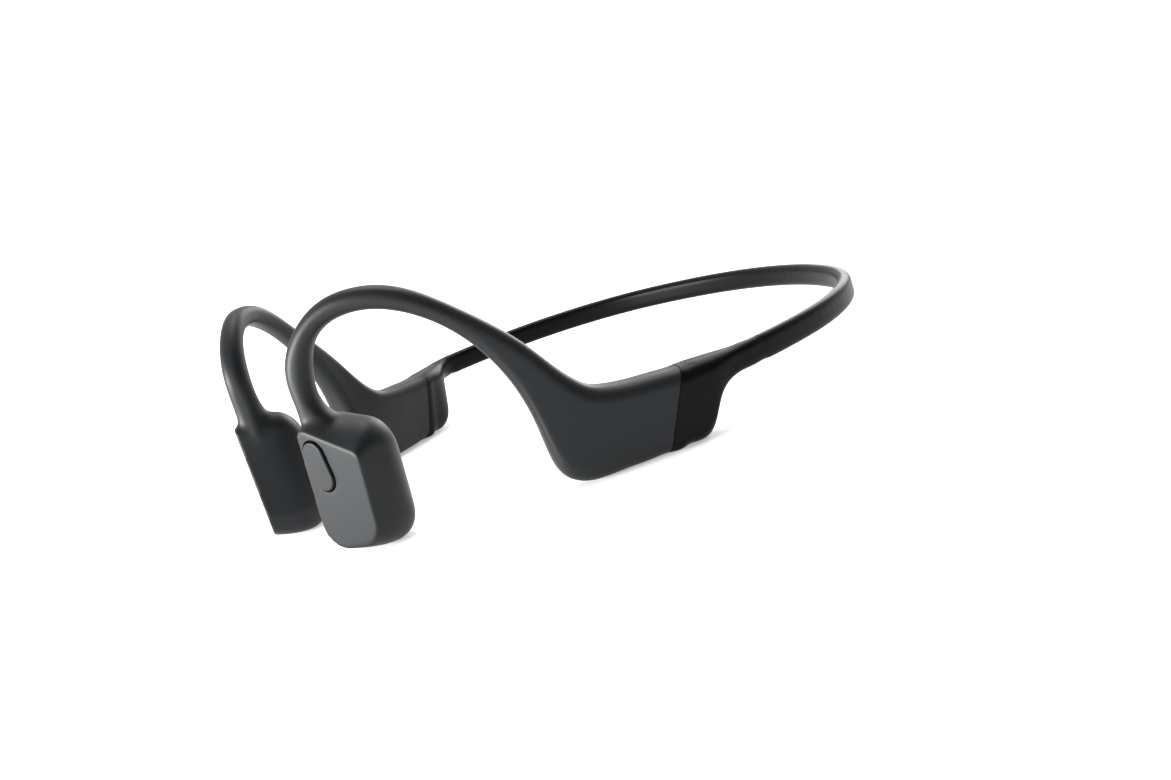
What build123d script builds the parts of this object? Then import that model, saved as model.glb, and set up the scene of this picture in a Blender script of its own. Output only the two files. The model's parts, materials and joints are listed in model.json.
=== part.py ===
"""Bone conduction headphones: a flexible neckband, two electronics boxes, two ear hooks and two driver pods.

Millimetres. +X is the wearer's left, -Y is forward, +Z is up. The origin is under the middle of the
bounding box, on the surface that the pods and boxes stand on. The left side is modelled and the right
side is its mirror image, apart from the controls that differ.
"""
from build123d import *
import math
import os

os.makedirs("parts", exist_ok=True)

# ---- neckband: plan of its centre line, as tangent arcs -------------------------------------------
band_half_width = 57.5      # from the plane of symmetry to the side of the band
band_start_y = 10.0         # where the band leaves the flared end over the box
band_side_radius = 69.0
band_side_turn = 11.0       # degrees
band_corner_radius = 43.5
band_corner_turn = 53.8     # degrees
band_height = 4.7
band_thickness = 2.8
band_corner = 1.2           # rounding of the band's edges

# ---- electronics box ------------------------------------------------------------------------------
box_floor = 0.3             # clearance under the box, taken up by the volume bar
box_height = 13.7
box_thickness = 9.0
box_corner = 2.7
box_length = 20.0           # straight stretch in front of the split
box_wall = 1.6              # silicone over the inner case
split_inset = 7.0           # split line's mid point, inboard of the band
split_y = -4.6
split_slant = 6.5           # the split's foot stands this far in front of its top
toe_in = 23.0               # degrees, boxes closer together in front

# ---- ear hook -------------------------------------------------------------------------------------
hook_thickness = 4.5
hook_height = 4.1           # at the crown
hook_rise = 30.9            # crown above the top of the box
hook_plan_radius = 72.4
hook_turn = 25.5            # degrees of turn in plan between box and pod
hook_run_out = 14.0         # straight end in plan, past the turn

# ---- pod ------------------------------------------------------------------------------------------
pod_depth = 12.2            # outer facet to skin side
pod_seam = 9.6              # where the contact cover closes the pod
pod_front_wall = 2.8
cavity_width = 10.8
cavity_height = 12.6
cavity_corner = 3.6
cavity_centre = (0.4, 9.6)

# ---- leads ----------------------------------------------------------------------------------------
wire_diameter = 1.0         # titanium memory wire
cable_diameter = 0.9        # audio and power lead
lead_spacing = 1.6          # between the two, centre to centre
lead_gap = 0.04             # running gap round each lead

# ---- fits and shells ------------------------------------------------------------------------------
seat_gap = 0.05             # between a case and the silicone round it
shell_wall = 0.7
gasket = 0.6
button_gap = 0.25
button_travel = 0.4
button_proud = 0.45

# ---- driver ---------------------------------------------------------------------------------------
driver_travel = 0.25
driver_margin = 0.45        # between the yoke and the pod's inner shell
yoke_wall = 0.8
yoke_depth = 3.2
magnet_gap = 0.9            # between top plate and yoke wall, for the coil
coil_clearance = 0.2
spring_thickness = 0.2
yoke_width = cavity_width - 2 * (seat_gap + shell_wall + driver_margin)
yoke_length = cavity_height - 2 * (seat_gap + shell_wall + driver_margin)

up = Vector(0, 0, 1)


def heading(turn):
    """Horizontal unit vector that points forward and turns inward by the given degrees."""
    return Vector(-math.sin(math.radians(turn)), -math.cos(math.radians(turn)), 0)


# ==== plan of the arm ==============================================================================
# One curve in plan carries the box and the hook. s is the distance along it in front of the split,
# and is negative behind it, where the flared end of the neckband runs back to the band.
split_top = Vector(band_half_width - split_inset, split_y, 0)
box_heading = heading(toe_in)
pod_heading = heading(toe_in + hook_turn)
with BuildLine() as front_plan:
    box_line = Line(split_top, split_top + box_heading * box_length)
    turn_arc = JernArc(
        start=box_line @ 1, tangent=box_heading, radius=hook_plan_radius, arc_size=-hook_turn
    )
    Line(turn_arc @ 1, (turn_arc @ 1) + pod_heading * hook_run_out)
front_wire = front_plan.wires()[0]
band_end = Vector(band_half_width, band_start_y, 0)
flare_handle = 6.0
with BuildLine() as rear_plan:
    Bezier(
        split_top,
        split_top - box_heading * flare_handle,
        band_end - Vector(0, flare_handle, 0),
        band_end,
    )
rear_edge = rear_plan.edges()[0]
rear_length = rear_edge.length


def plan_point(s):
    """Point and forward heading of the arm's plan curve."""
    if s < 0:
        point = rear_edge.position_at(-s, position_mode=PositionMode.LENGTH)
        tangent = rear_edge.tangent_at(-s, position_mode=PositionMode.LENGTH) * -1
    else:
        point = front_wire.position_at(s, position_mode=PositionMode.LENGTH)
        tangent = front_wire.tangent_at(s, position_mode=PositionMode.LENGTH)
    return point, tangent


def on_plan(s, z):
    """Point above the plan curve."""
    return plan_point(s)[0] + up * z


def arm_plane(top, foot):
    """Section plane of the arm through two points (s, z), with its x axis from the foot to the top."""
    upper = on_plan(*top)
    lower = on_plan(*foot)
    middle = (upper + lower) * 0.5
    tangent = plan_point((top[0] + foot[0]) / 2)[1]
    inward = tangent.cross(up)
    height_axis = (upper - lower).normalized()
    return Plane(origin=middle, x_dir=height_axis, z_dir=inward.cross(height_axis)), (upper - lower).length


def arm_section(top, foot, thickness, corner):
    """Rounded section of the arm between its top and its foot."""
    plane, height = arm_plane(top, foot)
    with BuildSketch(plane) as section:
        RectangleRounded(height, thickness, corner)
    return section


# ==== stations of the arm ==========================================================================
box_top = box_floor + box_height
box_foot = box_floor - 0.1   # sections reach this low and are then trimmed flat
crown = box_top + hook_rise
split_section = ((0, box_top), (split_slant, box_foot), box_thickness, box_corner)

# Stations, each (top (s, z), foot (s, z), thickness, corner). The box's own, from the split forward:
box_stations = [
    split_section,
    ((0.17 * box_length, box_top + 0.1), (0.465 * box_length, box_foot), box_thickness, box_corner),
    ((0.34 * box_length, box_top + 0.35), (0.61 * box_length, box_foot), box_thickness, box_corner),
    ((0.51 * box_length, box_top + 0.7), (0.78 * box_length, box_foot), box_thickness, box_corner),
]

# Stations past the straight box, with s measured from its front end: the turn round the front corner,
# the rising leg, the crown of the hook and the leg that comes down into the pod.
leg_foot = 20.4             # height at which the leg ends inside the pod
hook_stations = [
    ((-6.6, box_top + 1.3), (-0.6, box_foot), box_thickness - 0.2, box_corner),
    ((-3.8, box_top + 2.5), (4.2, box_floor + 1.7), box_thickness - 0.7, box_corner),
    ((-1.4, box_top + 4.9), (6.0, box_floor + 6.0), box_thickness - 1.6, box_corner),
    ((1.4, box_top + 8.8), (6.6, box_floor + 12.8), hook_thickness + 1.8, 2.4),
    ((5.2, box_top + 14.2), (8.6, box_top + 7.9), hook_thickness + 0.8, 2.2),
    ((11.0, box_top + 20.4), (13.2, box_top + 16.6), hook_thickness + 0.2, 2.0),
    ((19.2, box_top + 27.4), (21.2, box_top + 24.0), hook_thickness, 1.9),
    ((29.2, crown), (29.4, crown - hook_height), hook_thickness, 1.9),
    ((36.8, crown - 1.1), (35.6, crown - 4.9), hook_thickness, 1.9),
    ((42.2, crown - 4.8), (39.3, crown - 7.6), hook_thickness + 0.1, 1.9),
    ((45.8, crown - 10.6), (41.2, crown - 11.7), hook_thickness + 0.2, 2.0),
    ((48.0, crown - 16.0), (41.9, crown - 16.4), hook_thickness + 0.5, 2.0),
    ((48.5, leg_foot + 5.0), (40.6, leg_foot + 4.9), hook_thickness + 0.7, 2.0),
    ((48.0, leg_foot - 0.5), (38.5, leg_foot + 0.5), hook_thickness + 0.1, 2.0),
]
arm_stations = box_stations + [
    ((box_length + top[0], top[1]), (box_length + foot[0], foot[1]), thickness, corner)
    for top, foot, thickness, corner in hook_stations
]

# Stations of the flared end of the neckband, from the split back over the rear corner to the band.
band_top = box_top + 0.3
band_foot = band_top - band_height
flare_stations = [
    split_section,
    ((-2.2, box_top), (3.2, box_foot), box_thickness, box_corner),
    ((-4.4, box_top), (0.2, box_foot), box_thickness - 0.2, box_corner),
    ((-6.4, box_top), (-2.3, box_floor + 0.5), box_thickness - 0.7, box_corner),
    ((-8.2, box_top), (-4.0, box_floor + 2.4), box_thickness - 1.6, 2.5),
    ((-9.8, box_top), (-5.4, box_floor + 5.1), box_thickness - 2.7, 2.2),
    ((-11.2, box_top + 0.1), (-7.6, box_floor + 7.8), box_thickness - 3.8, 1.9),
    ((-12.8, box_top + 0.2), (-10.6, band_foot - 0.2), band_thickness + 1.4, 1.6),
    ((-14.6, box_top + 0.25), (-13.6, band_foot), band_thickness + 0.5, 1.35),
    ((-rear_length, band_top), (-rear_length, band_foot), band_thickness, band_corner),
]

# Plan of the band's centre line: three tangent arcs, the last of which crosses the plane of symmetry.
band_middle = (band_top + band_foot) / 2


def band_path(z):
    """Centre line of the neckband at a height, from its left start round to its right start."""
    with BuildLine() as path:
        side = JernArc(
            start=band_end + up * z, tangent=(0, 1), radius=band_side_radius, arc_size=band_side_turn
        )
        corner = JernArc(
            start=side @ 1, tangent=side % 1, radius=band_corner_radius, arc_size=band_corner_turn
        )
        half_turn = 90 - band_side_turn - band_corner_turn
        back_radius = (corner @ 1).X / math.sin(math.radians(half_turn))
        JernArc(start=corner @ 1, tangent=corner % 1, radius=back_radius, arc_size=half_turn)
        mirror(about=Plane.YZ)
    return path


# ==== pod frame ====================================================================================
# x runs across the pod away from the face, y is up and z points out of the facet.
leg_station = box_length + 43.0   # where the hook's leg stands, along the plan curve
pod_facing = 18.4           # degrees, the facet turned outward from straight ahead
pod_lead = 4.3              # facet in front of the leg's middle
pod_shift = 2.6             # pod's datum across from the leg's middle
facing = heading(-pod_facing)
across = up.cross(facing)
pod_datum = plan_point(leg_station)[0] + facing * pod_lead + across * pod_shift


def pod_plane(depth):
    """Plane parallel to the facet, the given depth behind it."""
    return Plane(origin=pod_datum - facing * depth, x_dir=across, z_dir=facing)


# Outlines of the pod: depth, then (across, up, rounding) of the top inner, top outer, lower outer and
# lower inner corners. The body swells behind the facet and draws in towards the skin.
pod_outlines = [
    (0.0, ((-5.0, 25.0, 1.6), (8.3, 18.4, 1.8), (6.2, 1.6, 5.0), (-7.6, 1.6, 4.6))),
    (3.0, ((-5.6, 25.4, 2.2), (9.3, 20.6, 3.4), (7.2, 0.6, 5.4), (-7.5, 0.6, 4.8))),
    (7.0, ((-6.0, 25.6, 3.0), (9.6, 21.8, 5.4), (7.4, 0.0, 5.4), (-7.2, 0.0, 4.8))),
    (pod_seam, ((-5.6, 24.8, 3.4), (8.4, 21.2, 5.4), (6.3, 0.5, 4.8), (-6.6, 0.5, 4.8))),
    (11.2, ((-4.8, 23.2, 3.6), (6.8, 20.0, 5.0), (4.8, 1.6, 4.6), (-5.5, 1.6, 4.6))),
    (pod_depth, ((-3.4, 21.4, 3.4), (4.9, 18.2, 4.2), (3.1, 3.4, 3.2), (-3.8, 3.4, 3.2))),
]


def pod_outline(depth, corners):
    """Closed outline of the pod at a depth."""
    with BuildSketch(pod_plane(depth)) as outline:
        with BuildLine():
            FilletPolyline(
                *[(x, y) for x, y, _ in corners], radius=[r for _, _, r in corners], close=True
            )
        make_face()
    return outline


def cavity_block(gap, front, back):
    """Rounded block in the pod between two depths, smaller than the cavity by a gap all round."""
    with BuildPart() as block:
        with BuildSketch(pod_plane(front)):
            with Locations(cavity_centre):
                RectangleRounded(cavity_width - 2 * gap, cavity_height - 2 * gap, cavity_corner - gap)
        extrude(amount=front - back)
    return block.part


# ==== electronics case =============================================================================
# x runs forward from the split, y is up and z points inward.
case_back = -1.0
case_front = box_length + 0.2
case_length = case_front - case_back
case_height = box_height - 2 * box_wall
case_thickness = box_thickness - 2 * box_wall
case_middle = ((case_front + case_back) / 2, box_floor + box_height / 2)
case_corner = 1.6


def box_plane(depth):
    """Plane along the box, the given depth inward of its middle."""
    inward = box_heading.cross(up)
    return Plane(origin=split_top + inward * depth, x_dir=box_heading, z_dir=inward)


def case_block(gap):
    """Rounded block of the electronics case, larger by a gap all round."""
    with BuildPart() as block:
        with BuildSketch(box_plane(-case_thickness / 2 - gap)):
            with Locations(case_middle):
                RectangleRounded(case_length + 2 * gap, case_height + 2 * gap, case_corner + gap)
        extrude(amount=case_thickness + 2 * gap)
    return block.part


# ==== leads ========================================================================================
case_lead_z = box_floor + box_height * 0.62
leg_end_z = cavity_centre[1] + cavity_height / 2 - seat_gap - shell_wall
hook_route = [
    (case_front - 2.0, case_lead_z),
    (box_length + 2.8, box_top - 4.0),
    (box_length + 5.0, box_top + 4.4),
    (box_length + 7.2, box_top + 11.4),
    (box_length + 12.1, box_top + 18.5),
    (box_length + 20.2, box_top + 25.7),
    (box_length + 29.3, crown - hook_height / 2),
    (box_length + 36.2, crown - 3.0),
    (box_length + 40.75, crown - 6.2),
    (box_length + 43.5, crown - 11.2),
    (box_length + 44.4, crown - 16.2),
    (box_length + 43.2, leg_foot + 0.5),
    (leg_station, leg_end_z),
]
flare_route = [(2.0, case_lead_z + 0.9), (-5.0, case_lead_z + 1.4)]


def rounded_route(points):
    """Path through points, with the largest arc that each corner's two runs allow."""
    radii = []
    for before, corner, after in zip(points, points[1:], points[2:]):
        turn = (corner - before).get_angle(after - corner)
        run = min((corner - before).length, (after - corner).length)
        radii.append(0.45 * run / math.tan(math.radians(turn / 2)))
    with BuildLine() as path:
        FilletPolyline(*points, radius=radii)
    return path


def tube(path, diameter):
    """Round solid along a path."""
    start = path.wires()[0]
    with BuildPart() as swept:
        with BuildSketch(Plane(origin=start @ 0, z_dir=start % 0)):
            Circle(diameter / 2)
        sweep(path=start)
    return swept.part


def hook_lead(diameter, side):
    """Lead from the box to the pod, beside the middle of the hook (side is +1 outward, -1 inward)."""
    points = []
    for s, z in hook_route:
        point, tangent = plan_point(s)
        points.append(point + up * z - tangent.cross(up) * (side * lead_spacing / 2))
    return tube(rounded_route(points), diameter)


def band_lead(diameter, side):
    """Lead round the neckband from case to case, above (+1) or below (-1) the middle of the band."""
    z = band_middle + side * lead_spacing / 2
    drop = (side - 1) * lead_spacing / 2
    points = [on_plan(s, height + drop) for s, height in flare_route]
    points += [band_end + Vector(0, -4.5, z), band_end + up * z]
    entry = rounded_route(points).wires()[0]
    with BuildLine() as path:
        add(entry)
        add(mirror(entry, about=Plane.YZ, mode=Mode.PRIVATE))
        add(band_path(z).line)
    return tube(path, diameter)


def mirrored(part):
    """The same piece on the wearer's right."""
    return mirror(part, about=Plane.YZ, mode=Mode.PRIVATE)


def save(part, name):
    """Label a finished piece and write it."""
    part.label = name
    export_step(part, f"parts/{name}.step")
    print(name, round(part.volume, 2), len(part.solids()), part.is_valid)


# ==== silicone skins ===============================================================================
cavity = case_block(seat_gap)
pod_cavity = cavity_block(0, pod_front_wall, pod_seam)
hook_wire = hook_lead(wire_diameter, 1)
hook_cable = hook_lead(cable_diameter, -1)
hook_channels = [hook_lead(wire_diameter + 2 * lead_gap, 1), hook_lead(cable_diameter + 2 * lead_gap, -1)]
with BuildPart() as left_arm_skin:
    for station in arm_stations:
        add(arm_section(*station).sketch)
    loft()
    split(bisect_by=Plane.XY.offset(box_floor), keep=Keep.TOP)
    for depth, corners in pod_outlines[:4]:
        add(pod_outline(depth, corners).sketch)
    loft()
    add(cavity, mode=Mode.SUBTRACT)
    add(pod_cavity, mode=Mode.SUBTRACT)
    for channel in hook_channels:
        add(channel, mode=Mode.SUBTRACT)
right_arm_blank = mirrored(left_arm_skin.part)

band_channels = [band_lead(wire_diameter + 2 * lead_gap, 1), band_lead(cable_diameter + 2 * lead_gap, -1)]
with BuildPart() as flared_end:
    for station in flare_stations:
        add(arm_section(*station).sketch)
    loft()
    split(bisect_by=Plane.XY.offset(box_floor), keep=Keep.TOP)
    add(cavity, mode=Mode.SUBTRACT)
with BuildPart() as neckband_sleeve:
    with BuildSketch(Plane(origin=band_end + up * band_middle, x_dir=(0, 0, 1), z_dir=(0, 1, 0))):
        RectangleRounded(band_height, band_thickness, band_corner)
    sweep(path=band_path(band_middle).wires()[0])
    add(flared_end.part)
    add(mirrored(flared_end.part))
    for channel in band_channels:
        add(channel, mode=Mode.SUBTRACT)

# ==== controls =====================================================================================
button_centre = (-2.1, 17.3)
button_length = 9.3
button_width = 4.8
button_tilt = 96.0          # degrees from level, its top towards the face
button_base = 1.05          # underside of the cap, behind the facet
button_edge = 0.35
switch_radius = 1.2
switch_front = 1.75
switch_back = pod_front_wall - 0.35


def button_slot(depth, gap):
    """Outline of the multifunction button at a depth."""
    with BuildSketch(pod_plane(depth)) as outline:
        with Locations(button_centre):
            SlotOverall(button_length + 2 * gap, button_width + 2 * gap, rotation=button_tilt)
    return outline


with BuildPart(mode=Mode.PRIVATE) as button_pocket:
    extrude(button_slot(-1.0, button_gap).sketch, amount=-(1.0 + button_base + button_travel + 0.05))
    with BuildSketch(pod_plane(button_base)):
        with Locations(button_centre):
            Circle(switch_radius + seat_gap)
    extrude(amount=-(switch_back + seat_gap - button_base))
with BuildPart() as multifunction_button:
    extrude(button_slot(button_base, 0).sketch, amount=button_base + button_proud)
    fillet(multifunction_button.faces().sort_by(Axis((0, 0, 0), facing))[-1].edges(), button_edge)
    with BuildSketch(pod_plane(button_base)):
        with Locations(button_centre):
            Circle(0.8)
    extrude(amount=-(switch_front - button_travel - 0.05 - button_base))
with BuildPart() as button_switch:
    with BuildSketch(pod_plane(switch_back)):
        with Locations(button_centre):
            Circle(switch_radius)
    extrude(amount=switch_back - switch_front)
with BuildPart() as left_skin:
    add(left_arm_skin.part)
    add(button_pocket.part, mode=Mode.SUBTRACT)
save(left_skin.part, "left_arm_skin")
save(multifunction_button.part, "multifunction_button")
save(button_switch.part, "multifunction_switch")

# Volume buttons, their switch board, the status light and the charging port are in the underside of
# the right box. They are drawn under the left box and mirrored.
volume_start = 8.3
volume_length = 4.3
volume_pitch = 4.7
volume_width = 2.4
volume_travel = 0.25
volume_gap = 0.12
board_thickness = 0.35
board_foot = box_floor + box_wall - board_thickness - 2 * seat_gap
volume_depth = board_foot - volume_travel - 0.05
volume_middles = [(volume_start + volume_length / 2 + k * volume_pitch) for k in range(2)]
board_length = volume_length + volume_pitch


def under_box(z):
    """Level plane under the box, x forward along it."""
    return Plane(origin=split_top + up * z, x_dir=box_heading, z_dir=(0, 0, 1))


with BuildPart(mode=Mode.PRIVATE) as volume_pocket:
    with BuildSketch(under_box(-0.5)):
        with Locations(*[(x, 0) for x in volume_middles]):
            SlotOverall(volume_length + 2 * volume_gap, volume_width + 2 * volume_gap)
    extrude(amount=0.5 + board_foot)
    with BuildSketch(under_box(board_foot)):
        with Locations((sum(volume_middles) / 2, 0)):
            Rectangle(board_length + 2 * volume_gap, volume_width + 2 * volume_gap)
    extrude(amount=board_thickness + seat_gap)
volume_buttons = []
for middle in volume_middles:
    with BuildPart() as volume_button:
        with BuildSketch(under_box(0)):
            with Locations((middle, 0)):
                SlotOverall(volume_length, volume_width)
        extrude(amount=volume_depth)
        fillet(volume_button.faces().sort_by(Axis.Z)[0].edges(), 0.2)
    volume_buttons.append(mirrored(volume_button.part))
with BuildPart() as volume_board:
    with BuildSketch(under_box(board_foot)):
        with Locations((sum(volume_middles) / 2, 0)):
            Rectangle(board_length, volume_width)
    extrude(amount=board_thickness)

light_radius = 0.5
light_place = 18.9
with BuildPart() as status_light:
    with BuildSketch(under_box(box_floor)):
        with Locations((light_place, 0)):
            Circle(light_radius)
    extrude(amount=1.0)
with BuildPart(mode=Mode.PRIVATE) as light_pocket:
    with BuildSketch(under_box(0)):
        with Locations((light_place, 0)):
            Circle(light_radius + lead_gap)
    extrude(amount=box_floor + 1.0 + seat_gap)

port_place = 3.3
port_length = 4.4
port_width = 3.2
port_recess = 0.4
port_thickness = box_wall - port_recess - 0.2
pin_radius = 0.45
pin_pitch = 2.2
port_foot = box_floor + port_recess
with BuildPart(mode=Mode.PRIVATE) as port_pocket:
    with BuildSketch(under_box(0)):
        with Locations((port_place, 0)):
            RectangleRounded(port_length + 2 * seat_gap, port_width + 2 * seat_gap, 0.8)
    extrude(amount=port_foot + port_thickness + seat_gap)
with BuildPart() as charging_port:
    with BuildSketch(under_box(port_foot)):
        with Locations((port_place, 0)):
            RectangleRounded(port_length, port_width, 0.75)
            with GridLocations(pin_pitch, 0, 2, 1):
                Circle(pin_radius + lead_gap, mode=Mode.SUBTRACT)
    extrude(amount=port_thickness)
with BuildPart() as charging_pins:
    with BuildSketch(under_box(port_foot - 0.1)):
        with Locations((port_place, 0)):
            with GridLocations(pin_pitch, 0, 2, 1):
                Circle(pin_radius)
    extrude(amount=port_thickness + 0.1)

microphone_radius = 1.1
microphone_depth = 1.5
microphone_place = (0.4, 6.2)   # across and behind the facet
microphone_port = 0.45


def under_pod(z):
    """Level plane under the pod, x across it and y back from the facet."""
    return Plane(origin=pod_datum + up * z, x_dir=across, z_dir=(0, 0, 1))


with BuildPart(mode=Mode.PRIVATE) as microphone_pocket:
    with BuildSketch(under_pod(-0.5)):
        with Locations((microphone_place[0], microphone_place[1])):
            Circle(microphone_port)
    extrude(amount=2.0)
    with BuildSketch(under_pod(1.0)):
        with Locations((microphone_place[0], microphone_place[1])):
            Circle(microphone_radius + seat_gap)
    extrude(amount=microphone_depth + 2 * seat_gap)
with BuildPart() as microphone:
    with BuildSketch(under_pod(1.0 + seat_gap)):
        with Locations((microphone_place[0], microphone_place[1])):
            Circle(microphone_radius)
    extrude(amount=microphone_depth)

with BuildPart() as right_skin:
    add(right_arm_blank)
    for pocket in (volume_pocket, light_pocket, microphone_pocket):
        add(mirrored(pocket.part), mode=Mode.SUBTRACT)
save(right_skin.part, "right_arm_skin")
save(volume_buttons[0], "volume_up_button")
save(volume_buttons[1], "volume_down_button")
save(mirrored(volume_board.part), "volume_switch_board")
save(mirrored(status_light.part), "status_light")
save(mirrored(charging_port.part), "charging_port")
save(mirrored(charging_pins.part), "charging_pins")
save(mirrored(microphone.part), "microphone")
with BuildPart() as sleeve:
    add(neckband_sleeve.part)
    add(mirrored(port_pocket.part), mode=Mode.SUBTRACT)
save(sleeve.part, "neckband_sleeve")

# ==== leads and case ===============================================================================
save(band_lead(wire_diameter, 1), "neckband_wire")
save(band_lead(cable_diameter, -1), "neckband_cable")

plug_length = 1.5
plug_inset = 0.6            # the plug sits this far inside the case's mouth
with BuildPart() as case_interior:
    with BuildSketch(box_plane(-case_thickness / 2 + shell_wall)):
        with Locations((case_middle[0] - shell_wall, case_middle[1])):
            Rectangle(case_length, case_height - 2 * shell_wall)
    extrude(amount=case_thickness - 2 * shell_wall)
with BuildPart() as box_shell:
    add(case_block(0))
    add(case_interior.part, mode=Mode.SUBTRACT)
    for channel in hook_channels:
        add(channel, mode=Mode.SUBTRACT)
with BuildPart() as end_plug:
    with BuildSketch(box_plane(-case_thickness / 2 + shell_wall + seat_gap)):
        with Locations((case_back + plug_inset + plug_length / 2, case_middle[1])):
            Rectangle(plug_length, case_height - 2 * (shell_wall + seat_gap))
    extrude(amount=case_thickness - 2 * (shell_wall + seat_gap))
    for channel in band_channels:
        add(channel, mode=Mode.SUBTRACT)

content_start = 3.0
content_length = box_length - 7.5
content_height = case_height - 2 * shell_wall - 1.7
circuit_thickness = 0.6


def content_block(near, thickness, length, height):
    """Flat block in the case, from a depth inward of the case's outer wall."""
    with BuildPart() as block:
        with BuildSketch(box_plane(near - case_thickness / 2 + shell_wall)):
            with Locations((content_start + content_length / 2, case_middle[1])):
                RectangleRounded(length, height, 0.5)
        extrude(amount=thickness)
    return block.part


circuit_near = 0.15
cell_near = circuit_near + circuit_thickness + 0.15
cell_thickness = case_thickness - 2 * shell_wall - cell_near - 0.6
battery_board = content_block(circuit_near, circuit_thickness, content_length, content_height)
battery_cell = content_block(cell_near, cell_thickness, content_length, content_height)
radio_module = content_block(cell_near, 1.3, content_length * 0.5, content_height * 0.7)

# ==== pod inside ===================================================================================
gasket_back = pod_seam - 0.02
shell_back = gasket_back - gasket
shell_front = pod_front_wall + seat_gap
with BuildPart() as pod_shell:
    add(cavity_block(seat_gap, shell_front, shell_back))
    add(cavity_block(seat_gap + shell_wall, shell_front + shell_wall, shell_back), mode=Mode.SUBTRACT)
    for channel in hook_channels:
        add(channel, mode=Mode.SUBTRACT)
with BuildPart() as pod_gasket:
    add(cavity_block(seat_gap, shell_back + 0.02, gasket_back))
    add(cavity_block(seat_gap + shell_wall, shell_back + 0.02, gasket_back), mode=Mode.SUBTRACT)

spring_front = shell_front + shell_wall
yoke_front = spring_front + spring_thickness + driver_travel + 0.06
yoke_back = yoke_front + yoke_depth
magnet_front = yoke_front + yoke_wall
top_plate_front = magnet_front + 1.5
coil_front = magnet_front + 0.7
bobbin_front = yoke_back + driver_travel + 0.35
boss_front = bobbin_front + 0.5


def racetrack(front, back, inset, hole_inset=None):
    """Racetrack block in line with the driver, smaller than the yoke by an inset all round."""
    with BuildPart() as block:
        with BuildSketch(pod_plane(front)):
            with Locations(cavity_centre):
                SlotOverall(yoke_length - 2 * inset, yoke_width - 2 * inset, rotation=90)
                if hole_inset is not None:
                    SlotOverall(
                        yoke_length - 2 * hole_inset, yoke_width - 2 * hole_inset, rotation=90, mode=Mode.SUBTRACT
                    )
        extrude(amount=front - back)
    return block.part


plate_inset = yoke_wall + magnet_gap
with BuildPart() as yoke:
    add(racetrack(yoke_front, yoke_back, 0))
    add(racetrack(magnet_front, yoke_back, yoke_wall), mode=Mode.SUBTRACT)
magnet = racetrack(magnet_front, top_plate_front, plate_inset)
top_plate = racetrack(top_plate_front, yoke_back - 0.1, plate_inset)
voice_coil = racetrack(coil_front, bobbin_front, yoke_wall + coil_clearance, plate_inset - coil_clearance)
with BuildPart() as coil_bobbin:
    add(racetrack(bobbin_front, boss_front, 0.3))
with BuildPart() as spring_plate:
    add(cavity_block(seat_gap * 2 + shell_wall, spring_front, spring_front + spring_thickness))
    add(
        racetrack(spring_front, spring_front + spring_thickness, 0.7, 1.3), mode=Mode.SUBTRACT
    )
    with BuildSketch(pod_plane(spring_front)):
        with Locations(cavity_centre):
            Rectangle(yoke_width, 1.4)
    extrude(amount=-spring_thickness)
with BuildPart() as contact_cover:
    for depth, corners in pod_outlines[3:]:
        add(pod_outline(depth, corners).sketch)
    loft()
    add(racetrack(boss_front, pod_seam, 0.3))

for name, piece in {
    "hook_wire": hook_wire,
    "hook_cable": hook_cable,
    "box_shell": box_shell.part,
    "end_plug": end_plug.part,
    "pod_shell": pod_shell.part,
    "pod_gasket": pod_gasket.part,
    "spring_plate": spring_plate.part,
    "yoke": yoke.part,
    "magnet": magnet,
    "top_plate": top_plate,
    "voice_coil": voice_coil,
    "coil_bobbin": coil_bobbin.part,
    "contact_cover": contact_cover.part,
}.items():
    save(piece, f"left_{name}")
    save(mirrored(piece), f"right_{name}")
save(battery_cell, "battery_cell")
save(battery_board, "battery_board")
save(mirrored(battery_board), "main_board")
save(mirrored(radio_module), "radio_module")
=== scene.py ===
# %% [markdown]
# # Bone conduction headphones
# These headphones play through the cheekbones and leave the ears open. A springy neckband joins two
# electronics boxes that sit behind the ears. A hook goes over each ear and carries a driver pod.
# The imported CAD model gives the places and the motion. This script gives the looks.

# %% Load the frame
import json
import math

import bmesh
import bpy
from mathutils import Matrix, Vector


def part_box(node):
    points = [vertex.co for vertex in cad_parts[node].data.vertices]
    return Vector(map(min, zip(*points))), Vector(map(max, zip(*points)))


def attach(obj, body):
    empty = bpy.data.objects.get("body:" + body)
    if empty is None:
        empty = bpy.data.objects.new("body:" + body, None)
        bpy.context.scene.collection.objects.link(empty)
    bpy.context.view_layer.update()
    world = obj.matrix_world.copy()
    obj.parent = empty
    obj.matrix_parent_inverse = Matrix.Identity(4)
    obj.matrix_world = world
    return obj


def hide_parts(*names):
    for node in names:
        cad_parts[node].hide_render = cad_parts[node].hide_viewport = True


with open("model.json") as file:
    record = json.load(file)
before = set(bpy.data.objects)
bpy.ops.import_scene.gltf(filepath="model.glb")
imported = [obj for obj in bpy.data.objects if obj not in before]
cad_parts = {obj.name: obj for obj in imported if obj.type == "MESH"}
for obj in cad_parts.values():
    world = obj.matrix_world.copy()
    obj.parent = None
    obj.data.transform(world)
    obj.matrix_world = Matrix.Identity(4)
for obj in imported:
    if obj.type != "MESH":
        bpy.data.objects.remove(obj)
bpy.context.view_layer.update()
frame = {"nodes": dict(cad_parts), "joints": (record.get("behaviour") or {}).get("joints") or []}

scene = bpy.context.scene
MM = 0.001
UP = Vector((0, 0, 1))

# %% [markdown]
# ## Camera
# The object is seen from its left front, a little above, and it leans in the picture. A camera is
# turned by three angles: round the vertical, down towards the floor, and then rolled about its own
# line of sight.

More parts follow.
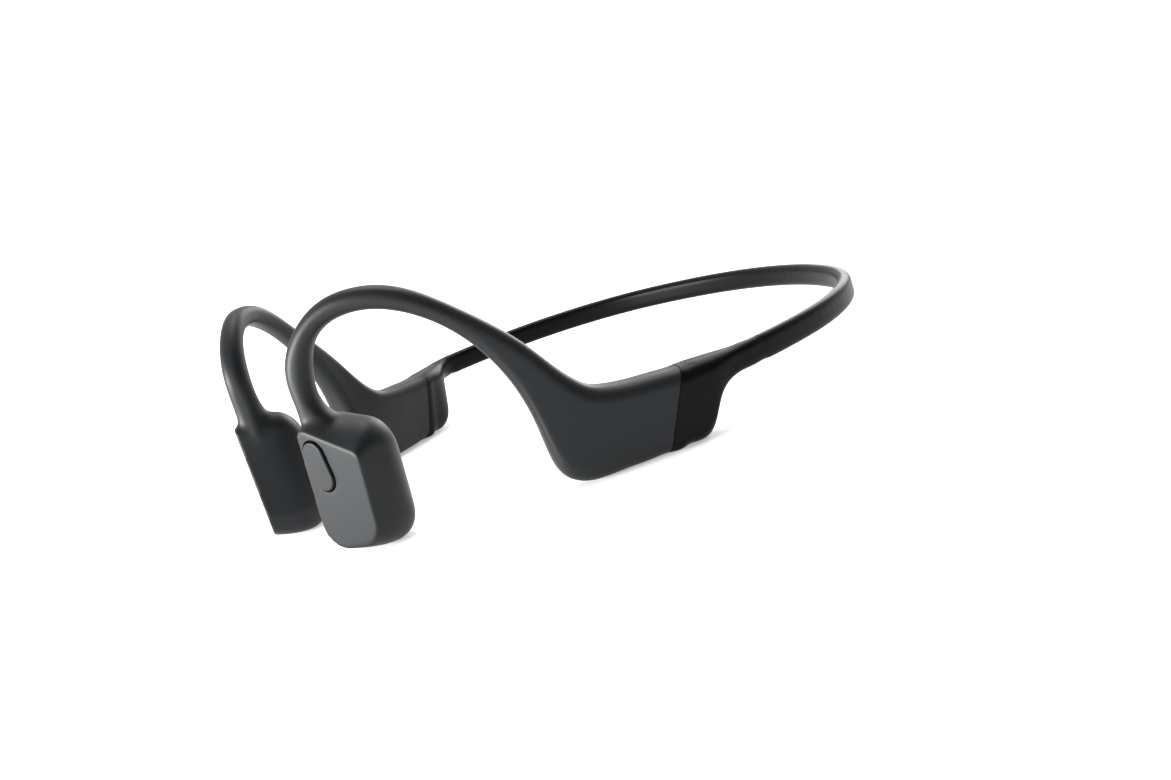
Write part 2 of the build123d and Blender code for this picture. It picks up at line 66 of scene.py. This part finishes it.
# %% Camera
camera_place = Vector((245.0, -147.0, 62.6)) * MM
camera_heading = math.radians(57.67)
camera_drop = math.radians(11.22)
camera_roll = math.radians(-18.39)
camera_data = bpy.data.cameras.new("camera")
camera_data.sensor_width = 36.0
camera_data.lens = 43.04
camera_data.clip_start = 0.01
camera = bpy.data.objects.new("camera", camera_data)
scene.collection.objects.link(camera)
camera.matrix_world = (
    Matrix.Translation(camera_place)
    @ Matrix.Rotation(camera_heading, 4, "Z")
    @ Matrix.Rotation(math.radians(90) - camera_drop, 4, "X")
    @ Matrix.Rotation(camera_roll, 4, "Z")
)
scene.camera = camera
print("camera", camera.location)

# %% [markdown]
# ## Helpers
# An operator works on whatever is selected, and loading leaves the CAD nodes selected. So every step
# starts by selecting only what it needs. A modifier is applied as soon as it is added, so that the
# next step works on the finished mesh.


# %% Selecting
def select_only(*objects):
    """Select these objects and make the first one active."""
    if bpy.context.mode != "OBJECT":
        bpy.ops.object.mode_set(mode="OBJECT")
    bpy.ops.object.select_all(action="DESELECT")
    for obj in objects:
        obj.select_set(True)
    bpy.context.view_layer.objects.active = objects[0]


def apply_modifier(piece, kind, **settings):
    """Add a modifier with its settings and apply it at once."""
    select_only(piece)
    modifier = piece.modifiers.new(kind.lower(), kind)
    for name, value in settings.items():
        setattr(modifier, name, value)
    bpy.ops.object.modifier_apply(modifier=modifier.name)


def remove(piece):
    """Delete an object that is no longer needed."""
    bpy.data.objects.remove(piece, do_unlink=True)


def copy_of(node, name):
    """A CAD node's shape as a new object whose loose triangles are joined."""
    mesh = frame["nodes"][node].data.copy()
    piece = bpy.data.objects.new(name, mesh)
    scene.collection.objects.link(piece)
    select_only(piece)
    bpy.ops.object.mode_set(mode="EDIT")
    bpy.ops.mesh.select_all(action="SELECT")
    bpy.ops.mesh.remove_doubles(threshold=1e-6)
    bpy.ops.object.mode_set(mode="OBJECT")
    return piece


# %% [markdown]
# ## Materials
# Colours are written as the eye knows them, in sRGB hex, and one function turns them to the linear
# values that the shader wants. Every pattern is laid out in the object's own metres, so a scale is
# one over the real size of what it draws.


# %% Colour and node helpers
CLOUD_SIZE = 14.0  # mm, a slow change of colour and gloss over the surface
GLOSS_SPREAD = 0.05  # how far the roughness wanders either way


def linear(code):
    """Linear RGBA of an sRGB hex colour."""
    channels = [int(code[i:i + 2], 16) / 255 for i in (1, 3, 5)]
    return tuple(c / 12.92 if c <= 0.04045 else ((c + 0.055) / 1.055) ** 2.4 for c in channels) + (1.0,)


def add_node(tree, kind, links=(), **settings):
    """Add a shader node, set its properties or input values, and link its inputs."""
    node = tree.nodes.new(kind)
    for name, value in settings.items():
        if name in node.inputs:
            node.inputs[name].default_value = value
        else:
            setattr(node, name, value)
    for name, source in links:
        tree.links.new(source, node.inputs[name])
    return node


def new_material(name):
    """An empty material with its node tree, its shader and its object coordinates."""
    material = bpy.data.materials.new(name)
    material.use_nodes = True
    tree = material.node_tree
    shader = tree.nodes["Principled BSDF"]
    place = add_node(tree, "ShaderNodeTexCoord").outputs["Object"]
    return material, tree, shader, place


def surface(name, colours, roughness, grain, relief, stretch=(1, 1, 1), specular=0.5, metallic=0.0):
    """A worked surface: clouded colour and gloss, and a grain of the given size and depth in mm."""
    material, tree, shader, place = new_material(name)
    laid = add_node(tree, "ShaderNodeMapping", [("Vector", place)], Scale=stretch)
    vector = laid.outputs["Vector"]
    fine = add_node(tree, "ShaderNodeTexNoise", [("Vector", vector)], Scale=1 / (grain * MM), Detail=2.0)
    cloud = add_node(tree, "ShaderNodeTexNoise", [("Vector", place)], Scale=1 / (CLOUD_SIZE * MM), Detail=3.0)
    tint = add_node(tree, "ShaderNodeMix", [("Factor", cloud.outputs["Fac"])], data_type="RGBA")
    tint.inputs[6].default_value = linear(colours[0])
    tint.inputs[7].default_value = linear(colours[1])
    tree.links.new(tint.outputs[2], shader.inputs["Base Color"])
    gloss = add_node(
        tree, "ShaderNodeMapRange", [("Value", cloud.outputs["Fac"])],
        **{"To Min": roughness - GLOSS_SPREAD, "To Max": roughness + GLOSS_SPREAD},
    )
    tree.links.new(gloss.outputs["Result"], shader.inputs["Roughness"])
    bump = add_node(
        tree, "ShaderNodeBump", [("Height", fine.outputs["Fac"])], Strength=0.5, Distance=relief * MM
    )
    tree.links.new(bump.outputs["Normal"], shader.inputs["Normal"])
    shader.inputs["Specular IOR Level"].default_value = specular
    shader.inputs["Metallic"].default_value = metallic
    return material


# %% [markdown]
# ### Silicone and lacquer
# Liquid silicone rubber takes the fine spark-eroded grain of its mould, and a soft-touch lacquer
# leaves it satin. To the eye that is a broad, soft highlight with a faint speckle in it. The real
# grain is finer than a tenth of a millimetre and wouldn't show, so it is drawn at two tenths.

# %% Outer finishes
grey_silicone = surface(
    "silicone rubber, moulded, slate grey", ("#151719", "#181a1c"), 0.46, 0.2, 0.004, specular=0.22
)
# The black skin of the neckband. The same material also darkens the walls of the wells as painted shade.
black_silicone_and_well_shade = surface(
    "silicone rubber, moulded, black", ("#040405", "#060607"), 0.38, 0.2, 0.004, specular=0.1
)
# The button's cap is hard plastic in the same grey, a shade smoother than the skin round it.
button_lacquer = surface(
    "ABS, moulded and lacquered, slate grey", ("#141618", "#181a1c"), 0.44, 0.2, 0.003, specular=0.22
)
# The volume buttons are bare black plastic, a little glossier than the grey skin.
button_plastic = surface(
    "ABS, moulded, black", ("#0b0b0c", "#101012"), 0.4, 0.15, 0.004
)
print("outer finishes made")

# %% [markdown]
# ### Inner parts
# They are shut in, and show when the object is taken apart: drawn wire and pressed sheet have a
# grain pulled out along one direction, moulded and cast parts an even one.

# %% Inner finishes
LONG = (1, 1, 12)  # squeezes a pattern along Z, which leaves fine lines across it
inner = {
    # Drawing leaves a warm grey wire with fine lines.
    "titanium_wire": surface(
        "titanium alloy, drawn", ("#b9b3ab", "#a8a39c"), 0.3, 0.1, 0.003, LONG, metallic=1
    ),
    # An extruded jacket is dull and even.
    "cable_jacket": surface(
        "polyurethane, extruded, black", ("#1b1b1c", "#222223"), 0.55, 0.1, 0.003
    ),
    # Nylon from a spark-eroded mould has a dry, grainy look.
    "case_plastic": surface("nylon, moulded, black", ("#1f1f20", "#27272a"), 0.6, 0.15, 0.006),
    # Foam shows its cells and no gloss.
    "gasket_rubber": surface("rubber foam, die cut", ("#2a2a2a", "#343434"), 0.85, 0.1, 0.02),
    # Rolled and etched steel keeps the lines of the roll.
    "spring_steel": surface(
        "spring steel, etched", ("#b5b5b3", "#a4a4a2"), 0.32, 0.08, 0.003, LONG, metallic=1
    ),
    # The turns of the winding read as ribs, glossy under their enamel.
    "coil_copper": surface(
        "copper wire, enamelled and wound", ("#b4622f", "#c47a43"), 0.28, 0.12, 0.02, LONG, metallic=1
    ),
    # A moulded switch body is matt and dark.
    "switch_plastic": surface(
        "liquid crystal polymer, moulded", ("#151515", "#1d1d1d"), 0.5, 0.1, 0.004
    ),
    # Pouch foil is bright and slightly creased.
    "cell_foil": surface(
        "aluminium pouch foil, pressed", ("#c4c4c8", "#b2b2b8"), 0.3, 0.6, 0.03, metallic=1
    ),
    # Solder mask is glossy green over the weave of the glass.
    "circuit_board": surface(
        "glass fibre board, solder masked", ("#0f3d22", "#15502d"), 0.35, 0.3, 0.01
    ),
    # Tinned sheet is pale with soft highlights.
    "shield_steel": surface("tinned steel, pressed", ("#c2c2c0", "#adadab"), 0.3, 0.2, 0.004, metallic=1),
    # A milky lens spreads its light evenly.
    "light_lens": surface("polycarbonate, moulded, milky", ("#c9ccce", "#d4d7d9"), 0.3, 0.3, 0.002),
    # Finer mould grain than on the cases.
    "port_plastic": surface("nylon, moulded, black, fine", ("#141415", "#1c1c1d"), 0.5, 0.12, 0.004),
    # Plated gold is warm and nearly polished.
    "gold_pins": surface("gold over nickel, plated", ("#d8ab55", "#c99a47"), 0.22, 0.1, 0.001, metallic=1),
    # Zinc leaves pressed iron a cool, cloudy grey.
    "yoke_steel": surface(
        "soft iron, pressed and zinc plated", ("#9a9a9c", "#88888b"), 0.38, 0.15, 0.004, metallic=1
    ),
    # Nickel over a magnet is bright and slightly yellow.
    "magnet_nickel": surface(
        "nickel plate over magnet", ("#cfccc5", "#bfbcb5"), 0.2, 0.3, 0.001, metallic=1
    ),
    "button_grey": button_lacquer,
    "button_black": button_plastic,
}
print("inner finishes made", len(inner))

# %% [markdown]
# ### Coating the CAD parts
# The inner parts keep their CAD shape. A finish goes on a slot of the object and not of its mesh, so
# the CAD data stays as it was loaded.


# %% Coat the CAD nodes
def coat(material, node):
    """Give a CAD node a material through its object's slots."""
    for slot in frame["nodes"][node].material_slots:
        slot.link = "OBJECT"
        slot.material = material


SLOTS = {
    "titanium_wire": ["neckband_wire", "left_hook_wire", "right_hook_wire"],
    "cable_jacket": ["neckband_cable", "left_hook_cable", "right_hook_cable"],
    "case_plastic": [
        side + part
        for side in ("left_", "right_")
        for part in ("box_shell", "end_plug", "pod_shell", "coil_bobbin")
    ],
    "gasket_rubber": ["left_pod_gasket", "right_pod_gasket"],
    "spring_steel": ["left_spring_plate", "right_spring_plate"],
    "coil_copper": ["left_voice_coil", "right_voice_coil"],
    "switch_plastic": ["multifunction_switch"],
    "cell_foil": ["battery_cell"],
    "circuit_board": ["battery_board", "main_board", "volume_switch_board"],
    "shield_steel": ["radio_module", "microphone"],
    "light_lens": ["status_light"],
    "port_plastic": ["charging_port"],
    "gold_pins": ["charging_pins"],
    "yoke_steel": ["left_yoke", "right_yoke", "left_top_plate", "right_top_plate"],
    "magnet_nickel": ["left_magnet", "right_magnet"],
    "button_grey": ["multifunction_button"],
    "button_black": ["volume_up_button", "volume_down_button"],
}
for finish, nodes in SLOTS.items():
    for node in nodes:
        coat(inner[finish], node)
print("CAD nodes coated", sum(len(nodes) for nodes in SLOTS.values()))

# %% [markdown]
# ## Split line
# The grey and the black silicone meet in a plane across each box. It leans, so that its foot stands
# in front of its top.

# %% Split planes
split_place = Vector((50.5, -4.6, 0)) * MM
box_top = 14.0 * MM
split_lean = 6.5 * MM
foot_clearance = 0.2 * MM
toe_in = math.radians(23.0)
box_heading = Vector((-math.sin(toe_in), -math.cos(toe_in), 0))
split_top = split_place + UP * box_top
split_foot = split_place + box_heading * split_lean + UP * foot_clearance
inward = box_heading.cross(UP)
split_normal = inward.cross(split_top - split_foot).normalized()
if split_normal.dot(box_heading) < 0:
    split_normal = -split_normal
print("split normal", split_normal)

# %% [markdown]
# ## One skin, moulded in two colours
# The silicone is moulded over the hard cases, so no edge of it is sharp and the hook flows into the
# pod. The CAD solids meet there in a plain corner. Joining them and remeshing the result gives one
# even skin, and smoothing it melts the corners as the mould does. Every well is filled first, with a
# swollen copy of what sits in it, and is cut again at the end with crisp edges. A slab inside each
# box bridges the slit between the two colours.

# %% Join and remesh the skins
VOXEL = 0.26 * MM
SLAB_SIZE = Vector((8.5, 14.5, 1.4)) * MM
SLAB_CORNER = 2.5 * MM
SKINS = [
    "neckband_sleeve",
    "left_arm_skin",
    "right_arm_skin",
    "left_contact_cover",
    "right_contact_cover",
]
press_axis = Vector(next(j["axis"] for j in frame["joints"] if j["name"] == "multifunction_press"))
# Growth in mm along the normals, and a move in mm that brings the filler to the skin's surface.
FILLERS = {
    "multifunction_button": (0.35, press_axis * 0.8),
    "volume_up_button": (0.35, UP * 0.65),
    "volume_down_button": (0.35, UP * 0.65),
    "status_light": (0.3, UP * 0.3),
    "charging_port": (0.35, UP * -0.05),
    "microphone": (0.3, UP * -0.7),
}


def swollen(node, growth, shift):
    """A copy of a CAD node grown along its normals and moved, both in mm."""
    piece = copy_of(node, node + "_swollen")
    apply_modifier(piece, "DISPLACE", strength=growth * MM, mid_level=0.0)
    piece.data.transform(Matrix.Translation(shift * MM))
    return piece


def bridge(side):
    """Slab inside the skin across one split plane, so that the remesh leaves no slit there."""
    slab = bmesh.new()
    bmesh.ops.create_cube(slab, size=1.0)
    bmesh.ops.scale(slab, vec=SLAB_SIZE, verts=slab.verts)
    short_edges = [edge for edge in slab.edges if edge.verts[0].co.z != edge.verts[1].co.z]
    bmesh.ops.bevel(
        slab, geom=short_edges, offset=SLAB_CORNER, segments=6, profile=0.5, affect="EDGES"
    )
    mesh = bpy.data.meshes.new("bridge")
    slab.to_mesh(mesh)
    slab.free()
    height_axis = (split_top - split_foot).normalized()
    turn = Matrix((inward, height_axis, inward.cross(height_axis))).transposed().to_4x4()
    mesh.transform(Matrix.Translation((split_top + split_foot) / 2) @ turn)
    if side < 0:
        mesh.transform(Matrix.Scale(-1, 4, Vector((1, 0, 0))))
        mesh.flip_normals()
    piece = bpy.data.objects.new("bridge", mesh)
    scene.collection.objects.link(piece)
    return piece


parts = [copy_of(node, node + "_copy") for node in SKINS] + [bridge(1), bridge(-1)]
parts += [swollen(node, growth, shift) for node, (growth, shift) in FILLERS.items()]
select_only(*parts)
bpy.ops.object.join()
whole = parts[0]
whole.name = "whole_skin"
apply_modifier(whole, "REMESH", mode="VOXEL", voxel_size=VOXEL, adaptivity=0.0)
print("remeshed faces", len(whole.data.polygons))

# %% [markdown]
# ## Outer surface
# The remesh fills every hollow that is closed all round, so the result is one island of faces. A crumb
# left beside it would float in the picture and in the exported mesh, so all but the largest island go.


# %% Keep the outer surface only
def keep_largest(piece):
    """Drop every island of a mesh but its largest."""
    mesh = bmesh.new()
    mesh.from_mesh(piece.data)
    unseen = set(mesh.verts)
    islands = []
    while unseen:
        edge = [unseen.pop()]
        island = list(edge)
        while edge:
            for link in edge.pop().link_edges:
                for other in link.verts:
                    if other in unseen:
                        unseen.discard(other)
                        edge.append(other)
                        island.append(other)
        islands.append(island)
    islands.sort(key=len)
    for island in islands[:-1]:
        bmesh.ops.delete(mesh, geom=island, context="VERTS")
    mesh.to_mesh(piece.data)
    mesh.free()
    print(piece.name, "islands", [len(island) for island in islands])


keep_largest(whole)

# %% [markdown]
# ## Melt the corners
# A few rounds of smoothing soften all edges. The neck of each pod first gets many more, weighted by a
# vertex group. Smoothing also wears thin parts away, so there only the outward moves are kept: they
# fill the corner between hook and pod and leave the rest.

# %% Smooth
NECK_ABOVE_BUTTON = 8.6 * MM
NECK_BEHIND_FACET = 4.0 * MM
NECK_ASIDE = 0.6 * MM
NECK_REACH = 8.0 * MM
WEIGHT_RISE = 2.5  # full weight from two fifths of the reach inwards
FILL_ROUNDS = 14
FILL_STEPS = 25
SOFTENING_STEPS = 14
facing = -press_axis
across = UP.cross(facing)
button_low, button_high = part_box("multifunction_button")
button_middle = (Vector(button_low) + Vector(button_high)) / 2
neck_place = button_middle + UP * NECK_ABOVE_BUTTON - facing * NECK_BEHIND_FACET - across * NECK_ASIDE
neck = whole.vertex_groups.new(name="neck")
for vertex in whole.data.vertices:
    mirrored = Vector((abs(vertex.co.x), vertex.co.y, vertex.co.z))
    nearness = 1 - (mirrored - neck_place).length / NECK_REACH
    if nearness > 0:
        neck.add([vertex.index], min(1.0, nearness * WEIGHT_RISE), "REPLACE")
near_neck = [vertex.index for vertex in whole.data.vertices if vertex.groups]
for _ in range(FILL_ROUNDS):
    before = [
        (whole.data.vertices[i].co.copy(), whole.data.vertices[i].normal.copy()) for i in near_neck
    ]
    apply_modifier(whole, "SMOOTH", factor=0.5, iterations=FILL_STEPS, vertex_group="neck")
    for i, (place, normal) in zip(near_neck, before):
        if (whole.data.vertices[i].co - place).dot(normal) < 0:
            whole.data.vertices[i].co = place
    whole.data.update()
apply_modifier(whole, "SMOOTH", factor=0.5, iterations=SOFTENING_STEPS)
print("neck at", neck_place)

# %% [markdown]
# ## Cut the colours apart
# The split line leans forward at its foot. A bisect with a filled cut gives each side its flat end.
# The neckband is cut once on each side, so each cut works on one half of it only.

# %% Cut
def cut(piece, name, planes):
    """A copy of a piece, cut by planes (place, normal, side of x = 0) and kept where normals point.

    A side of 1 or -1 cuts only that half of the piece, and 0 cuts all of it.
    """
    kept = bpy.data.objects.new(name, piece.data.copy())
    scene.collection.objects.link(kept)
    bpy.context.tool_settings.mesh_select_mode = (False, False, True)
    for place, normal, side in planes:
        select_only(kept)
        for polygon in kept.data.polygons:
            polygon.select = polygon.center.x * side >= 0
        bpy.ops.object.mode_set(mode="EDIT")
        bpy.ops.mesh.bisect(
            plane_co=place, plane_no=normal, use_fill=True, clear_inner=True, threshold=1e-7
        )
        bpy.ops.object.mode_set(mode="OBJECT")
    print(name, len(kept.data.polygons))
    return kept


flip = Vector((-1, 1, 1))
x_axis = Vector((1, 0, 0))
sleeve = cut(
    whole,
    "neckband_silicone",
    [(split_top, -split_normal, 1), (split_top * flip, -split_normal * flip, -1)],
)
left_arm = cut(whole, "left_arm_silicone", [(Vector(), x_axis, 0), (split_top, split_normal, 0)])
right_arm = cut(
    whole, "right_arm_silicone", [(Vector(), -x_axis, 0), (split_top * flip, split_normal * flip, 0)]
)
remove(whole)

# %% [markdown]
# ## Wells
# Each control stands in a well a hair wider than itself. A copy of it, grown by the gap, is the
# cutter. A button's well is cut twice, at rest and pressed, so that the button stays free as it
# moves. The charging port's is cut again lower down, which opens it through the skin. The walls of a
# well are painted black as painted shade in the recess, and the cutter brings that painted shade with it in
# its second slot.


# %% Cut the wells
# Gaps and moves, in mm as swollen takes them.
BUTTON_GAP = 0.3
VOLUME_GAP = 0.16
LIGHT_GAP = 0.06
PORT_GAP = 0.08
BUTTON_TRAVEL = 0.4
VOLUME_TRAVEL = 0.25
LIGHT_MOVE = -0.02
PORT_MOVE = -0.5
SOUND_HOLE_RADIUS = 0.45 * MM
SOUND_HOLE_DEPTH = 2.0 * MM
SOUND_HOLE_HEIGHT = 0.3 * MM


def paint(piece, materials, index):
    """Give a piece its materials, and all its faces the one of the given index."""
    piece.data.materials.clear()
    for material in materials:
        piece.data.materials.append(material)
    for polygon in piece.data.polygons:
        polygon.material_index = index


def carve(piece, cutter):
    """Cut a piece with a cutter whose walls take the second material, the black painted shade of a well, and
    remove the cutter.
    """
    # Slot 1 is the black painted shade that darkens the walls of the well.
    paint(cutter, (grey_silicone, black_silicone_and_well_shade), 1)
    apply_modifier(piece, "BOOLEAN", operation="DIFFERENCE", object=cutter, solver="EXACT")
    remove(cutter)


paint(sleeve, (black_silicone_and_well_shade, black_silicone_and_well_shade), 0)
# The second slot of each arm holds the black painted shade for the walls of its wells.
paint(left_arm, (grey_silicone, black_silicone_and_well_shade), 0)
paint(right_arm, (grey_silicone, black_silicone_and_well_shade), 0)
for shift in (0.0, BUTTON_TRAVEL):
    carve(left_arm, swollen("multifunction_button", BUTTON_GAP, press_axis * shift))
for node in ("volume_up_button", "volume_down_button"):
    for shift in (0.0, VOLUME_TRAVEL):
        carve(right_arm, swollen(node, VOLUME_GAP, UP * shift))
carve(right_arm, swollen("status_light", LIGHT_GAP, UP * LIGHT_MOVE))
for shift in (0.0, PORT_MOVE):
    carve(sleeve, swollen("charging_port", PORT_GAP, UP * shift))
microphone_low, microphone_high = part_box("microphone")
microphone_middle = (Vector(microphone_low) + Vector(microphone_high)) / 2
select_only(right_arm)
bpy.ops.mesh.primitive_cylinder_add(
    vertices=32,
    radius=SOUND_HOLE_RADIUS,
    depth=SOUND_HOLE_DEPTH,
    location=(microphone_middle.x, microphone_middle.y, SOUND_HOLE_HEIGHT),
)
sound_hole = bpy.context.object
carve(right_arm, sound_hole)
for piece in (sleeve, left_arm, right_arm):
    select_only(piece)
    bpy.ops.object.shade_smooth_by_angle(angle=math.radians(40))
    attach(piece, "frame")
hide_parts("neckband_sleeve")
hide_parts("left_arm_skin", "left_contact_cover")
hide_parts("right_arm_skin", "right_contact_cover")
print("wells cut", len(left_arm.data.polygons), len(right_arm.data.polygons))

# %% [markdown]
# ## Floor and light
# The object stands on a table of white acrylic that glows faintly, which lifts its undersides. The
# room is white behind the object and dim in front of it, so its near sides stay dark and their rims
# catch the light. A low lamp in front lights the faces of the pods, one above draws the light line
# along the top edges, and one behind lifts the band.

# %% Stage
FLOOR_DROP = 0.02 * MM  # keeps the floor clear of the flat feet that stand on it
bpy.ops.object.select_all(action="DESELECT")
bpy.ops.mesh.primitive_plane_add(size=40.0, location=(0, 0, -FLOOR_DROP))
floor = bpy.context.object
floor.name = "floor"
floor_paint, tree, shader, place = new_material("acrylic sheet, sanded white, lit from below")
speck = add_node(tree, "ShaderNodeTexNoise", [("Vector", place)], Scale=1 / (2 * MM), Detail=1.0)
tooth = add_node(
    tree, "ShaderNodeBump", [("Height", speck.outputs["Fac"])], Strength=0.1, Distance=0.02 * MM
)
tree.links.new(tooth.outputs["Normal"], shader.inputs["Normal"])
shader.inputs["Base Color"].default_value = linear("#fbfbfb")
shader.inputs["Roughness"].default_value = 0.95
shader.inputs["Specular IOR Level"].default_value = 0.1
shader.inputs["Emission Color"].default_value = linear("#ffffff")
shader.inputs["Emission Strength"].default_value = 0.4
floor.data.materials.append(floor_paint)

world = bpy.data.worlds.new("studio")
scene.world = world
world.use_nodes = True
room = world.node_tree
backdrop_side = Vector((-0.83, 0.52, 0.2)).normalized()
direction = add_node(room, "ShaderNodeTexCoord").outputs["Generated"]
turned = add_node(room, "ShaderNodeVectorMath", [(0, direction)], operation="DOT_PRODUCT")
turned.inputs[1].default_value = backdrop_side
brightness = add_node(
    room, "ShaderNodeMapRange", [("Value", turned.outputs["Value"])],
    **{"From Min": -0.3, "From Max": 0.6, "To Min": 0.2, "To Max": 1.15},
)
room.links.new(brightness.outputs["Result"], room.nodes["Background"].inputs["Strength"])
room.nodes["Background"].inputs["Color"].default_value = linear("#ffffff")


def softbox(name, place, width, height, power):
    """Rectangular area lamp that faces the middle of the object."""
    lamp_data = bpy.data.lights.new(name, "AREA")
    lamp_data.shape = "RECTANGLE"
    lamp_data.size = width
    lamp_data.size_y = height
    lamp_data.energy = power
    lamp = bpy.data.objects.new(name, lamp_data)
    lamp.location = place
    aim = Vector((0, -0.02, 0.02)) - Vector(place)
    lamp.rotation_euler = aim.to_track_quat("-Z", "Y").to_euler()
    scene.collection.objects.link(lamp)


softbox("front lamp", (-0.2, -0.9, 0.15), 0.6, 0.22, 25.0)
softbox("top lamp", (-0.25, 0.25, 0.9), 0.5, 0.5, 4.5)
softbox("back lamp", (-0.5, 0.8, 0.35), 0.5, 0.5, 4.0)
scene.view_settings.view_transform = "Standard"
